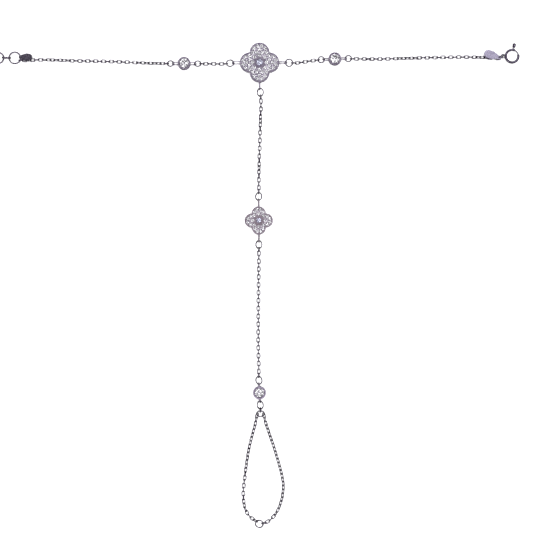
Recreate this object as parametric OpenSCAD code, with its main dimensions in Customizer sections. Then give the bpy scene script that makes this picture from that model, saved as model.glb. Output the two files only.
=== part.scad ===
// Hand chain bracelet, laid out flat on a table.
// The origin is the middle of the large clover's flat back, +X runs along the wrist
// chain towards the clasp, +Y points away from the finger loop and +Z up off the table.

/* [Chain links] */
// Outer length of one chain link
link_len = 1.99; // [1.9:0.01:2.3]
// Outer width of one chain link
link_width = 1.3; // [1.24:0.01:1.4]
// Wire diameter of a chain link
link_wire = 0.28; // [0.24:0.01:0.3]
// Gap between the wires of two hooked pieces
play = 0.12; // [0.1:0.01:0.14]
// Links in the wrist chain between the extension rings and the left stone
left_outer_links = 38; // [30:1:44]
// Links between each wrist stone and the large clover
inner_links = 7; // [3:2:13]
// Links in the wrist chain between the right stone and the clasp
right_outer_links = 38; // [30:2:44]
// Links between the large clover and the small clover
upper_links = 25; // [17:2:33]
// Links between the small clover and the drop stone
lower_links = 33; // [25:2:41]
// Length over which a raised chain end comes down to the table
settle_len = 5; // [4:0.5:8]

/* [Jump rings] */
// Outer diameter of the rings beside the wrist stones
wrist_ring_d = 2.45; // [2.3:0.05:3]
// Outer diameter of the two rings beside the large clover
clover_ring_d = 2.8; // [2.4:0.05:3.2]
// Outer diameter of the rings of the hand chain
hand_ring_d = 2.95; // [2.6:0.05:3.2]
// Wire diameter of the jump rings
ring_wire = 0.38; // [0.34:0.01:0.4]
// Lean of the wrist rings out of the table plane, in degrees
wrist_ring_lean = 20; // [16:1:24]
// Lean of the hand chain rings, in degrees
hand_ring_lean = 38; // [34:1:40]
// Length of the oval ring that carries the finger loop
finger_ring_len = 2.4; // [2.3:0.05:2.8]
// Width of the oval ring that carries the finger loop
finger_ring_width = 2.9; // [2.7:0.05:3.2]

/* [Soldered loops] */
// Wire diameter of the loops soldered to the settings
loop_wire = 0.3; // [0.26:0.01:0.32]
// Outer width of the soldered loops
loop_width = 1.34; // [1.32:0.01:1.45]
// How far a loop stands out from a clover
clover_loop_reach = 2.7; // [2:0.1:3.2]
// How far a loop stands out from a wrist stone's cup
cup_loop_reach = 2.05; // [1.6:0.05:2.6]
// How far a loop stands out from the drop stone's cup
drop_loop_reach = 1.4; // [1.3:0.05:2]
// Turn between a soldered loop and the ring hooked in it, in degrees
loop_turn = 64; // [60:1:70]

/* [Clovers] */
// Radius of each lobe of the large clover
lobe_r = 3.27; // [3:0.01:3.6]
// Radius of each lobe of the small clover
small_lobe_r = 2.33; // [2.2:0.01:2.6]
// Thickness of the rim wall round the stones
rim = 0.3; // [0.26:0.01:0.36]
// Height of the stone bed above the flat back
bed_top = 1.35; // [1.2:0.01:1.6]
// Height of the rim above the stone bed
rim_rise = 0.3; // [0.2:0.01:0.4]
// Gap between a stone and the metal or the stone beside it
stone_gap = 0.1; // [0.1:0.01:0.14]
// Diameter of the large clover's middle stone
centre_stone_d = 2.1; // [1.9:0.05:2.2]
// Diameter of the small clover's middle stone
small_centre_stone_d = 1.6; // [1.4:0.05:1.7]
// Wall of the raised collar round a middle stone
collar_wall = 0.32; // [0.26:0.01:0.36]
// Height of a collar above the stone bed
collar_rise = 0.75; // [0.6:0.05:1]

/* [Bezel cups] */
// Diameter of the three round stones
cup_stone_d = 3.1; // [2.8:0.05:3.4]
// Wall of a bezel cup
cup_wall = 0.47; // [0.35:0.01:0.6]
// Height of a bezel cup
cup_height = 1.8; // [1.75:0.05:2.2]

/* [Extension rings] */
// Outer diameter of the end ring
end_ring_d = 4; // [3.8:0.05:4.5]
// Outer diameter of the ring at the chain's end
near_ring_d = 4.25; // [4.1:0.05:4.8]
// Wire diameter of the extension rings
extension_wire = 0.45; // [0.4:0.01:0.48]
// Length of the oval link between the extension rings
bridge_len = 3.2; // [3:0.05:3.8]
// Width of the oval link between the extension rings
bridge_width = 1.6; // [1.5:0.05:1.8]
// Wire diameter of the oval link
bridge_wire = 0.35; // [0.3:0.01:0.38]

/* [Tags] */
// Width of the left tag's plate
left_tag_width = 2.6; // [2.2:0.05:2.9]
// Length of the left tag's plate
left_tag_len = 3.7; // [3:0.05:4.2]
// Width of the right tag's plate
right_tag_width = 2.95; // [2.4:0.05:3.2]
// Length of the right tag's plate
right_tag_len = 5.2; // [4.4:0.05:5.6]
// Thickness of the tags
tag_thick = 0.3; // [0.2:0.01:0.32]
// Length of the folded bail of the left tag
bail_len = 0.7; // [0.6:0.05:0.8]

/* [Clasp] */
// Outer diameter of the spring ring
clasp_d = 5; // [4.8:0.05:6]
// Diameter of the spring ring's tube
clasp_tube = 0.8; // [0.76:0.01:0.9]
// Diameter of the bolt that slides in the tube
bolt_d = 0.4; // [0.34:0.01:0.42]
// Wall of the spring ring's tube
clasp_wall = 0.11; // [0.1:0.01:0.13]
// Diameter of the bolt's knob
knob_d = 1.1; // [0.9:0.05:1.2]
// Length of the bolt's knob
knob_len = 1.5; // [1.2:0.05:1.6]
// Outer diameter of the clasp's fixed loop
clasp_loop_d = 1.5; // [1.46:0.02:1.6]
// Outer diameter of the ring between chain and clasp
clasp_ring_d = 2.1; // [2:0.05:2.3]

/* [Hidden] */
$fn = 48;

silver = [0.76, 0.74, 0.8];
dark_silver = [0.6, 0.58, 0.65];
clear_stone = [0.88, 0.92, 0.97];
blue_stone = [0.66, 0.68, 0.9];

// Heights above the table
lift = 0.01;
link_r = (link_width - link_wire) / 2;
loop_r = (loop_width - loop_wire) / 2;
rest_z = link_width / 2 + lift;
wrist_z = rest_z + 0.02;
hand_z = (hand_ring_d - ring_wire) / 2 * sin(hand_ring_lean) + ring_wire / 2 + lift;

// Lengths along a string of hooked pieces
link_pitch = link_len - 2 * link_wire - play;
ring_play = play + 0.06;
loop_hook = loop_wire + ring_wire + ring_play;
link_hook = link_wire + ring_wire + ring_play;
wrist_loop_lean = wrist_ring_lean - loop_turn;
hand_loop_lean = hand_ring_lean + loop_turn;
function chain_len(count) = (count - 1) * link_pitch + link_len;

// Clovers: a lobe centre lies one lobe radius plus a sliver from the middle
lobe_at = lobe_r * 1.01;
small_lobe_at = small_lobe_r * 1.01;
clover_edge = lobe_at + lobe_r;
small_clover_edge = small_lobe_at + small_lobe_r;
rim_top = bed_top + rim_rise;
girdle_z = bed_top + stone_gap;
collar_top = bed_top + collar_rise;
collar_r = centre_stone_d / 2 + stone_gap + collar_wall;
small_collar_r = small_centre_stone_d / 2 + stone_gap + collar_wall;

// Proportions of a cut stone, as shares of its diameter
crown_share = 0.16;
girdle_share = 0.03;
pavilion_share = 0.38;
table_share = 0.56;

// Pave rows of a clover. The outer row follows the lobe's rim, at angles about the lobe's
// centre. The inner stones lie along the lobe's axis and across it, from the lobe's centre,
// as shares of the outer row's radius.
pave_share = 0.42;
small_pave_share = 0.543;
bed_r = lobe_r - rim - stone_gap;
small_bed_r = small_lobe_r - rim - stone_gap;
pave_d = bed_r * pave_share;
small_pave_d = small_bed_r * small_pave_share;
row_r = bed_r - pave_d / 2;
small_row_r = small_bed_r - small_pave_d / 2;
row_angles = [-92, -55.2, -18.4, 18.4, 55.2, 92];
inner_stones = [[-0.44, 0], [-0.02, 0.418], [-0.02, -0.418], [0.44, 0], [-0.684, 0.772]];
small_row_angles = [-73.5, -24.5, 24.5, 73.5];
small_inner_stones = [[-0.166, 0], [-0.564, 1.11]];

// Bezel cups
cup_r = cup_stone_d / 2 + stone_gap + cup_wall;
cup_girdle_z = cup_height - 0.22;

// Routes as offsets from the tip of the clover's soldered loop
loop_tip = clover_edge + clover_loop_reach;
right_route = [[0, 0], [3.2, -0.1], [6, 0.35], [8.7, 0.75], [11.5, 1], [16.3, 1.6], [20.5, 1.35],
  [29, 1.2], [41, 1.5], [47, 1.7], [60, 1.9], [66, 1.7], [71, 1.4], [150, 1.4]];
left_route = [[0, -0.1], [-1.5, -0.4], [-10, -0.35], [-16, -0.2], [-20.5, -0.3], [-27, -0.2],
  [-37, 0.3], [-45, 0.5], [-53, 0.65], [-57, 0.85], [-64, 1], [-68, 0.8], [-71, 0.8], [-150, 0.8]];
hand_route = [[0.15, 0], [0.4, -2], [0.5, -3.4], [0.15, -14.5], [-0.2, -26], [-0.3, -35.5],
  [-0.4, -43.3], [-0.2, -52], [-0.35, -65], [-0.45, -85], [-0.25, -93], [-0.25, -97],
  [0, -100.5], [0.25, -105], [0.3, -107.5], [0.3, -180]];
// Routes of the finger loop's strands as offsets from the middle of the finger ring
left_strand_route = [[-0.6, -1.4], [-1.4, -3.1], [-2.3, -5.5], [-3, -8], [-3.8, -11.5],
  [-4.5, -15.5], [-5.1, -20], [-5.6, -24], [-5.7, -27.5], [-5.3, -31.2], [-4.4, -33.2],
  [-3.3, -34.6], [-2.4, -35.2], [-1.8, -35.5]];
right_strand_route = [[0.95, -1.4], [1.6, -2.8], [2.5, -5], [3.4, -8], [4.6, -11.5],
  [5.8, -15.5], [6.9, -19.5], [7.5, -22.5], [7.6, -24.8], [7.2, -28], [6.2, -31.2],
  [4.9, -33.6], [3.8, -34.6], [2.7, -35.6], [1.5, -36.6]];
closing_ring_at = [-0.4, -36.7];

// Roll of each chain's links along it, as rows of link number and twist in degrees
steady_twist = [[0, 0]];
left_outer_twist = [[0, 5], [3, 45], [6, 45], [10, 90], [24, 90], [27, 135], [29, 135],
  [32, 92], [37, 90]];
right_outer_twist = [[0, 5], [1, 0], [4, 40], [8, 0], [9, 0], [12, 45], [16, 45], [19, 0],
  [29, 0], [32, 45], [34, 40], [37, 0]];
upper_twist = [[0, 10], [3, 0], [6, 45], [9, 0], [15, 0], [18, 45], [21, 0], [24, 10]];
lower_twist = [[0, 10], [3, 0], [29, 0], [32, 10]];

// Stations along the wrist string, from the loop's tip outwards
clover_ring_at = -loop_hook;
inner_chain_at = clover_ring_at + clover_ring_d - link_hook;
inner_ring_at = inner_chain_at + chain_len(inner_links) - link_hook;
cup_at = inner_ring_at + wrist_ring_d - loop_hook;
cup_len = 2 * (cup_r + cup_loop_reach);
outer_ring_at = cup_at + cup_len - loop_hook;
outer_chain_at = outer_ring_at + wrist_ring_d - link_hook;
left_chain_end = outer_chain_at + chain_len(left_outer_links);
right_chain_end = outer_chain_at + chain_len(right_outer_links);

// Stations along the hand string
hand_ring_at = -loop_hook;
upper_chain_at = hand_ring_at + hand_ring_d - link_hook;
second_ring_at = upper_chain_at + chain_len(upper_links) - link_hook;
small_clover_at = second_ring_at + hand_ring_d - loop_hook;
small_clover_len = 2 * (small_clover_edge + clover_loop_reach);
third_ring_at = small_clover_at + small_clover_len - loop_hook;
lower_chain_at = third_ring_at + hand_ring_d - link_hook;
drop_ring_at = lower_chain_at + chain_len(lower_links) - link_hook;
drop_at = drop_ring_at + hand_ring_d - loop_hook;
drop_len = 2 * (cup_r + drop_loop_reach);
drop_low_ring_at = drop_at + drop_len - loop_hook;
finger_link_at = drop_low_ring_at + hand_ring_d - link_hook;
finger_ring_at = finger_link_at + link_len - link_hook;

// Route functions: the point and the height at a given length along a route
function run_len(route, i) = i == 0 ? 0 : run_len(route, i - 1) + norm(route[i] - route[i - 1]);
function run_table(route, axis) = [for (i = [0:len(route) - 1]) [run_len(route, i), route[i][axis]]];
function route_point(route, s) = s >= 0
  ? [for (axis = [0:1]) lookup(s, run_table(route, axis))]
  : route[0] + (route[1] - route[0]) * s / norm(route[1] - route[0]);
function ease(share) = share <= 0 ? 1 : share >= 1 ? 0 : (1 + cos(180 * share)) / 2;

// A string is a route, the point that it starts from, and the height of its joints
wrist_right = [right_route, [loop_tip, 0], wrist_z];
wrist_left = [left_route, [-loop_tip, 0], wrist_z];
hand = [hand_route, [0, -loop_tip], hand_z];
function string_point(string, s) = concat(route_point(string[0], s) + string[1], [string[2]]);
function chain_point(string, s, first, last) =
  let (p = route_point(string[0], s) + string[1],
       raised = max(ease((s - first) / settle_len), ease((last - s) / settle_len)))
  [p[0], p[1], rest_z + (string[2] - rest_z) * raised];

// A closed ring or link of round wire, lying in the XY plane, long along X
module oval_ring(length, width, wire) {
  bend_r = (width - wire) / 2;
  straight = length - width;
  for (side = [-1, 1])
    translate([side * straight / 2, 0, 0])
      rotate([0, 0, -90 * side])
        rotate_extrude(angle = 180) translate([bend_r, 0]) circle(d = wire);
  for (side = [-1, 1])
    translate([-straight / 2, side * bend_r, 0]) rotate([0, 90, 0]) cylinder(d = wire, h = straight);
}

module round_ring(diameter, wire) {
  rotate_extrude() translate([(diameter - wire) / 2, 0]) circle(d = wire);
}

// Places its child, long along X, between two points, turned about its own length
module place_between(from, to, lean) {
  step = to - from;
  heading = atan2(step[1], step[0]);
  pitch = -atan2(step[2], norm([step[0], step[1]]));
  translate((from + to) / 2) rotate([0, 0, heading]) rotate([0, pitch, 0]) rotate([lean, 0, 0])
    children();
}

// One jump ring of a string, which starts at the given length along it
module string_ring(string, at, diameter, lean) {
  color(silver)
    place_between(string_point(string, at), string_point(string, at + diameter), lean)
      round_ring(diameter, ring_wire);
}

// A whole chain of hooked links. Odd links lie flat where the twist is none.
module string_chain(string, at, count, twist) {
  last = at + chain_len(count);
  color(silver)
    for (i = [0:count - 1]) {
      start = at + i * link_pitch;
      place_between(chain_point(string, start, at, last),
                    chain_point(string, start + link_len, at, last),
                    90 * (i + 1) + lookup(i, twist))
        oval_ring(link_len, link_width, link_wire);
    }
}

// A U of round wire along +X, from inside a wall at the given place out to its tip
module soldered_loop(wall_at, tip_at, height, lean) {
  bend_at = tip_at - loop_width / 2;
  translate([0, 0, height]) rotate([lean, 0, 0]) {
    for (side = [-1, 1])
      translate([wall_at, side * loop_r, 0]) rotate([0, 90, 0])
        cylinder(d = loop_wire, h = bend_at - wall_at);
    translate([bend_at, 0, 0]) rotate([0, 0, -90])
      rotate_extrude(angle = 180) translate([loop_r, 0]) circle(d = loop_wire);
  }
}

// A cut stone with its girdle's lower edge at height 0, a table and rings of facets
module cut_stone(diameter, sides) {
  r = diameter / 2;
  girdle = girdle_share * diameter;
  crown = crown_share * diameter;
  table_r = table_share * r;
  step = 360 / sides;
  table_ring = [for (i = [0:sides - 1])
    [table_r * cos(i * step), table_r * sin(i * step), girdle + crown]];
  upper_ring = [for (i = [0:sides - 1])
    [r * cos((i + 0.5) * step), r * sin((i + 0.5) * step), girdle]];
  lower_ring = [for (p = upper_ring) [p[0], p[1], 0]];
  culet = [[0, 0, -pavilion_share * diameter]];
  points = concat(table_ring, upper_ring, lower_ring, culet);
  faces = concat(
    [[for (i = [0:sides - 1]) sides - 1 - i]],
    [for (i = [0:sides - 1]) [i, (i + 1) % sides, sides + i]],
    [for (i = [0:sides - 1]) [(i + 1) % sides, sides + (i + 1) % sides, sides + i]],
    [for (i = [0:sides - 1])
      [sides + i, sides + (i + 1) % sides, 2 * sides + (i + 1) % sides, 2 * sides + i]],
    [for (i = [0:sides - 1]) [2 * sides + i, 2 * sides + (i + 1) % sides, 3 * sides]]);
  polyhedron(points = points, faces = faces);
}

// The conical seat under a stone, a gap wider than the stone's pavilion
module stone_seat(diameter) {
  depth = pavilion_share * diameter;
  slope = diameter / 2 / depth;
  translate([0, 0, -depth - stone_gap]) cylinder(r1 = 0, r2 = slope * (depth + stone_gap), h = depth + stone_gap);
}

// The clover's outline: four discs and the square between their centres
module clover_outline(disc_r, disc_at) {
  for (turn = [0:90:270]) rotate(turn) translate([disc_at, 0]) circle(r = disc_r);
  polygon([[disc_at, 0], [0, disc_at], [-disc_at, 0], [0, -disc_at]]);
}

// Places its child on each stone of a clover's bed
module on_pave(angles, radius, inner, disc_at) {
  for (turn = [0:90:270]) rotate(turn) {
    for (a = angles)
      translate([disc_at + radius * cos(a), radius * sin(a), girdle_z]) children();
    for (p = inner)
      translate([disc_at + p[0] * radius, p[1] * radius, girdle_z]) children();
  }
}

// A clover setting: bed, rim wall, stone seats and the collar of the middle stone
module clover_body(disc_r, disc_at, angles, radius, inner, stone_d, middle_d, ring_r) {
  difference() {
    union() {
      difference() {
        linear_extrude(rim_top) clover_outline(disc_r, disc_at);
        translate([0, 0, bed_top]) linear_extrude(rim_rise + 1) clover_outline(disc_r - rim, disc_at);
        on_pave(angles, radius, inner, disc_at) stone_seat(stone_d);
      }
      translate([0, 0, bed_top / 2]) cylinder(r = ring_r, h = collar_top - bed_top / 2);
    }
    translate([0, 0, collar_top - middle_d * 0.14]) {
      stone_seat(middle_d);
      cylinder(r = middle_d / 2 + stone_gap, h = 2);
    }
  }
}

module big_clover_setting() {
  wall_at = clover_edge - rim * 0.7;
  color(silver) {
    clover_body(lobe_r, lobe_at, row_angles, row_r, inner_stones, pave_d,
                centre_stone_d, collar_r);
    for (turn = [0, 180]) rotate(turn) soldered_loop(wall_at, loop_tip, wrist_z, wrist_loop_lean);
    rotate(-90) soldered_loop(wall_at, loop_tip, hand_z, hand_loop_lean);
  }
}

module big_clover_centre_stone() {
  color(blue_stone) translate([0, 0, collar_top - centre_stone_d * 0.14]) cut_stone(centre_stone_d, 12);
}

module big_clover_pave() {
  color(clear_stone)
    on_pave(row_angles, row_r, inner_stones, lobe_at) cut_stone(pave_d, 8);
}

module place_small_clover() {
  place_between(string_point(hand, small_clover_at),
                string_point(hand, small_clover_at + small_clover_len), 0)
    translate([0, 0, -hand_z]) children();
}

module small_clover_setting() {
  wall_at = small_clover_edge - rim * 0.7;
  tip_at = small_clover_edge + clover_loop_reach;
  color(silver) place_small_clover() {
    clover_body(small_lobe_r, small_lobe_at, small_row_angles, small_row_r, small_inner_stones,
                small_pave_d, small_centre_stone_d, small_collar_r);
    soldered_loop(wall_at, tip_at, hand_z, hand_loop_lean);
    rotate(180) soldered_loop(wall_at, tip_at, hand_z, -hand_loop_lean);
  }
}

module small_clover_centre_stone() {
  color(blue_stone) place_small_clover()
    translate([0, 0, collar_top - small_centre_stone_d * 0.14]) cut_stone(small_centre_stone_d, 12);
}

module small_clover_pave() {
  color(clear_stone) place_small_clover()
    on_pave(small_row_angles, small_row_r, small_inner_stones, small_lobe_at) cut_stone(small_pave_d, 8);
}

// A round bezel cup with a soldered loop on two sides
module bezel_cup(reach, height, lean) {
  wall_at = cup_r - cup_wall * 0.6;
  color(silver) translate([0, 0, -height]) {
    difference() {
      cylinder(r = cup_r, h = cup_height);
      translate([0, 0, cup_girdle_z]) {
        stone_seat(cup_stone_d);
        cylinder(r = cup_stone_d / 2 + stone_gap, h = 2);
      }
    }
    soldered_loop(wall_at, cup_r + reach, height, lean);
    rotate(180) soldered_loop(wall_at, cup_r + reach, height, -lean);
  }
}

module bezel_stone(height) {
  color(clear_stone) translate([0, 0, cup_girdle_z - height]) cut_stone(cup_stone_d, 16);
}

module place_cup(string, at, length) {
  place_between(string_point(string, at), string_point(string, at + length), 0) children();
}

module left_bezel_cup() {
  place_cup(wrist_left, cup_at, cup_len) bezel_cup(cup_loop_reach, wrist_z, wrist_loop_lean);
}
module left_bezel_stone() { place_cup(wrist_left, cup_at, cup_len) bezel_stone(wrist_z); }
module right_bezel_cup() {
  place_cup(wrist_right, cup_at, cup_len) bezel_cup(cup_loop_reach, wrist_z, wrist_loop_lean);
}
module right_bezel_stone() { place_cup(wrist_right, cup_at, cup_len) bezel_stone(wrist_z); }
module drop_bezel_cup() {
  place_cup(hand, drop_at, drop_len) bezel_cup(drop_loop_reach, hand_z, hand_loop_lean);
}
module drop_bezel_stone() { place_cup(hand, drop_at, drop_len) bezel_stone(hand_z); }

module left_inner_chain() { string_chain(wrist_left, inner_chain_at, inner_links, steady_twist); }
module right_inner_chain() { string_chain(wrist_right, inner_chain_at, inner_links, steady_twist); }
module left_outer_chain() {
  string_chain(wrist_left, outer_chain_at, left_outer_links, left_outer_twist);
}
module right_outer_chain() {
  string_chain(wrist_right, outer_chain_at, right_outer_links, right_outer_twist);
}
module upper_hand_chain() { string_chain(hand, upper_chain_at, upper_links, upper_twist); }
module lower_hand_chain() { string_chain(hand, lower_chain_at, lower_links, lower_twist); }

module left_clover_ring() { string_ring(wrist_left, clover_ring_at, clover_ring_d, wrist_ring_lean); }
module left_stone_inner_ring() { string_ring(wrist_left, inner_ring_at, wrist_ring_d, wrist_ring_lean); }
module left_stone_outer_ring() { string_ring(wrist_left, outer_ring_at, wrist_ring_d, wrist_ring_lean); }
module right_clover_ring() { string_ring(wrist_right, clover_ring_at, clover_ring_d, wrist_ring_lean); }
module right_stone_inner_ring() { string_ring(wrist_right, inner_ring_at, wrist_ring_d, wrist_ring_lean); }
module right_stone_outer_ring() { string_ring(wrist_right, outer_ring_at, wrist_ring_d, wrist_ring_lean); }
module hand_top_ring() { string_ring(hand, hand_ring_at, hand_ring_d, hand_ring_lean); }
module small_clover_top_ring() { string_ring(hand, second_ring_at, hand_ring_d, hand_ring_lean); }
module small_clover_bottom_ring() { string_ring(hand, third_ring_at, hand_ring_d, hand_ring_lean); }
module drop_top_ring() { string_ring(hand, drop_ring_at, hand_ring_d, hand_ring_lean); }

// Extension rings: the near ring hangs on the last link at an angle round its wire, and the
// link between the rings stands on its edge, which lifts the rings' sides
near_hook_angle = -25;
near_r = (near_ring_d - extension_wire) / 2;
near_hook = link_wire + play + extension_wire / 2 + link_wire / 2 * tan(abs(near_hook_angle));
bridge_z = bridge_width / 2 + lift;
near_pitch = asin((bridge_z - wrist_z) / near_r / (1 + cos(near_hook_angle)));
near_ring_c = string_point(wrist_left, left_chain_end) + [near_hook, 0, 0]
  + near_r * [-cos(near_hook_angle), -sin(near_hook_angle), cos(near_hook_angle) * sin(near_pitch)];
function near_ring_point(a) = near_ring_c
  + near_r * [cos(a) * cos(near_pitch), sin(a), -cos(a) * sin(near_pitch)];
extension_hook = extension_wire + bridge_wire + play + 0.02;
bridge_x = near_ring_c[0] - near_ring_d / 2 + extension_hook - bridge_len / 2;
end_ring_x = bridge_x - bridge_len / 2 + extension_hook - end_ring_d / 2;
end_ring_low = extension_wire / 2 + lift;
end_ring_pitch = asin((bridge_z - end_ring_low) / (end_ring_d - extension_wire));

module near_extension_ring() {
  color(silver) translate(near_ring_c) rotate([0, near_pitch, 0])
    round_ring(near_ring_d, extension_wire);
}

module extension_link() {
  color(silver) translate([bridge_x, near_ring_c[1], bridge_z]) rotate([86, 0, 0])
    oval_ring(bridge_len, bridge_width, bridge_wire);
}

module end_extension_ring() {
  color(silver)
    translate([end_ring_x, near_ring_c[1], (bridge_z + end_ring_low) / 2])
      rotate([0, -end_ring_pitch, 0]) round_ring(end_ring_d, extension_wire);
}

// A tag's plate: a round-ended plate that narrows to the neck at the origin
module tag_plate(length, width, neck_w) {
  plate_r = width / 2;
  near_c = length * 0.44;
  linear_extrude(tag_thick, center = true) {
    translate([length - plate_r, 0]) circle(r = plate_r);
    translate([near_c, -plate_r]) square([length - plate_r - near_c, width]);
    polygon([[0, -neck_w / 2], [near_c, -plate_r], [near_c, plate_r], [0, neck_w / 2]]);
  }
}

// The left tag hangs on the near ring by a folded bail and leans on the chain
bail_r = extension_wire / 2 + 0.16;
bail_wall = 0.18;
bail_angle = 9;
left_tag_pitch = -12;
left_tag_roll = -14;
left_tag_heading = -8;
module left_tag() {
  full_len = left_tag_len + bail_r + bail_wall;
  color(dark_silver)
    translate(near_ring_point(bail_angle)) rotate([0, 0, left_tag_heading]) difference() {
      union() {
        rotate([90, 0, bail_angle - left_tag_heading])
          cylinder(r = bail_r + bail_wall, h = bail_len, center = true);
        rotate([left_tag_roll, left_tag_pitch, 0])
          translate([0, 0, bail_r + bail_wall - tag_thick / 2 - 0.02])
            tag_plate(full_len, left_tag_width, bail_len);
      }
      rotate([90, 0, bail_angle - left_tag_heading])
        cylinder(r = bail_r, h = bail_len + 1, center = true);
    }
}

// The clasp's ring stands askew on its edge. The last link, the clasp's fixed loop and the
// right tag's eye each hold it at their own height, at an angle round its wire.
clasp_heading = 32;
clasp_ring_lean = 76;
clasp_ring_wire = loop_wire;
clasp_ring_r = (clasp_ring_d - clasp_ring_wire) / 2;
clasp_dir = [cos(clasp_heading), sin(clasp_heading), 0];
clasp_up = [-sin(clasp_heading) * cos(clasp_ring_lean), cos(clasp_heading) * cos(clasp_ring_lean),
            sin(clasp_ring_lean)];
clasp_ring_z = clasp_ring_r * clasp_up[2] + clasp_ring_wire / 2 + lift;
clasp_z = max(clasp_tube, knob_d) / 2 + lift;
function drop_angle(z) = asin((clasp_ring_z - z) / clasp_ring_r / clasp_up[2]);
function clasp_ring_arm(a) = clasp_ring_r * (cos(a) * clasp_dir + sin(a) * clasp_up);
chain_tip = string_point(wrist_right, right_chain_end);
clasp_ring_c = chain_tip - [link_wire + play + clasp_ring_wire / 2 + 0.09, 0, 0]
  - clasp_ring_arm(180 + drop_angle(wrist_z));
clasp_loop_c = clasp_ring_c + clasp_ring_arm(-drop_angle(clasp_z)) - 0.03 * clasp_dir;
clasp_loop_r = (clasp_loop_d - loop_wire) / 2;
clasp_r = (clasp_d - clasp_tube) / 2;
clasp_bore = clasp_tube - 2 * clasp_wall;
clasp_loop_reach = clasp_d / 2 + clasp_loop_d / 2 - 0.22;
clasp_c = clasp_loop_c + [clasp_loop_reach, 0, 0];

module clasp_ring() {
  color(silver) translate(clasp_ring_c) rotate([0, 0, clasp_heading]) rotate([clasp_ring_lean, 0, 0])
    round_ring(clasp_ring_d, clasp_ring_wire);
}

// Angles round the spring ring, counted from +X
mouth_from = 12;
mouth_to = 65;
bolt_tip_angle = 5;
bolt_tail_angle = 112;
knob_angle = 79;
bolt_travel = 50;
slot_height = 0.34;
pin_d = 0.2;

module ring_sweep(from_angle, to_angle) {
  rotate(from_angle) rotate_extrude(angle = to_angle - from_angle) translate([clasp_r, 0]) children();
}

module clasp_body() {
  color(silver) translate(clasp_c) {
    difference() {
      ring_sweep(mouth_to, 360 + mouth_from) circle(d = clasp_tube);
      ring_sweep(mouth_to - 5, 360 + mouth_from + 5) circle(d = clasp_bore);
      ring_sweep(knob_angle - 7, knob_angle + bolt_travel + 7)
        translate([0, -slot_height / 2]) square([clasp_tube, slot_height]);
    }
    ring_sweep(172, 188) circle(d = clasp_bore + clasp_wall);
    translate([-clasp_loop_reach, 0, 0]) round_ring(clasp_loop_d, loop_wire);
  }
}

// The bolt: a curved wire, a pin through the slot and a knob turned round the pin
module clasp_bolt() {
  pin_from = clasp_r;
  knob_from = clasp_d / 2 + 0.35 - pin_from;
  knob_to = knob_from + knob_len;
  knob_r = knob_d / 2;
  color(dark_silver) translate(clasp_c) {
    ring_sweep(bolt_tip_angle, bolt_tail_angle) circle(d = bolt_d);
    rotate(knob_angle) translate([pin_from, 0, 0]) rotate([0, 90, 0]) rotate_extrude()
      polygon([[0, 0], [pin_d / 2, 0], [pin_d / 2, knob_from], [knob_r * 0.6, knob_from],
               [knob_r * 0.9, knob_from + knob_len * 0.18], [knob_r, knob_from + knob_len * 0.4],
               [knob_r, knob_from + knob_len * 0.6], [knob_r * 0.9, knob_to - knob_len * 0.18],
               [knob_r * 0.6, knob_to], [0, knob_to]]);
  }
}

// The right tag hangs on the clasp's ring by an eye, laid back over the chain
tag_eye_d = 1.34;
tag_eye_bore = 0.76;
tag_eye_angle = 150;
right_tag_heading = 161;
right_tag_pitch = 2;
right_tag_roll = 18;
module right_tag() {
  color(dark_silver)
    translate(clasp_ring_c + clasp_ring_arm(tag_eye_angle)) rotate([0, 0, right_tag_heading])
      rotate([right_tag_roll, right_tag_pitch, 0]) difference() {
        union() {
          cylinder(d = tag_eye_d, h = tag_thick, center = true);
          tag_plate(right_tag_len, right_tag_width, tag_eye_d * 0.7);
        }
        cylinder(d = tag_eye_bore, h = 1, center = true);
      }
}

module drop_bottom_ring() { string_ring(hand, drop_low_ring_at, hand_ring_d, hand_ring_lean); }

// The oval ring of the finger loop leans back, its far edge on the table
finger_ring_pitch = 24;
finger_ring_span = (finger_ring_len - ring_wire) * cos(finger_ring_pitch) + ring_wire;
finger_ring_drop = (finger_ring_len - ring_wire) * sin(finger_ring_pitch) / 2;
finger_ring_z = finger_ring_drop + ring_wire / 2 + lift;
finger_ring_c = [0, 0, finger_ring_z - hand_z]
  + string_point(hand, finger_ring_at + finger_ring_span / 2);
finger_rise = finger_ring_z + finger_ring_drop - hand_z;
module finger_link() {
  color(silver)
    place_between(string_point(hand, finger_link_at),
                  string_point(hand, finger_link_at + link_len) + [0, 0, finger_rise], hand_loop_lean)
      oval_ring(link_len, link_width, link_wire);
}
module finger_ring() {
  color(silver) translate(finger_ring_c) rotate([finger_ring_pitch, 0, 0])
    oval_ring(finger_ring_width, finger_ring_len, ring_wire);
}

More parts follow.
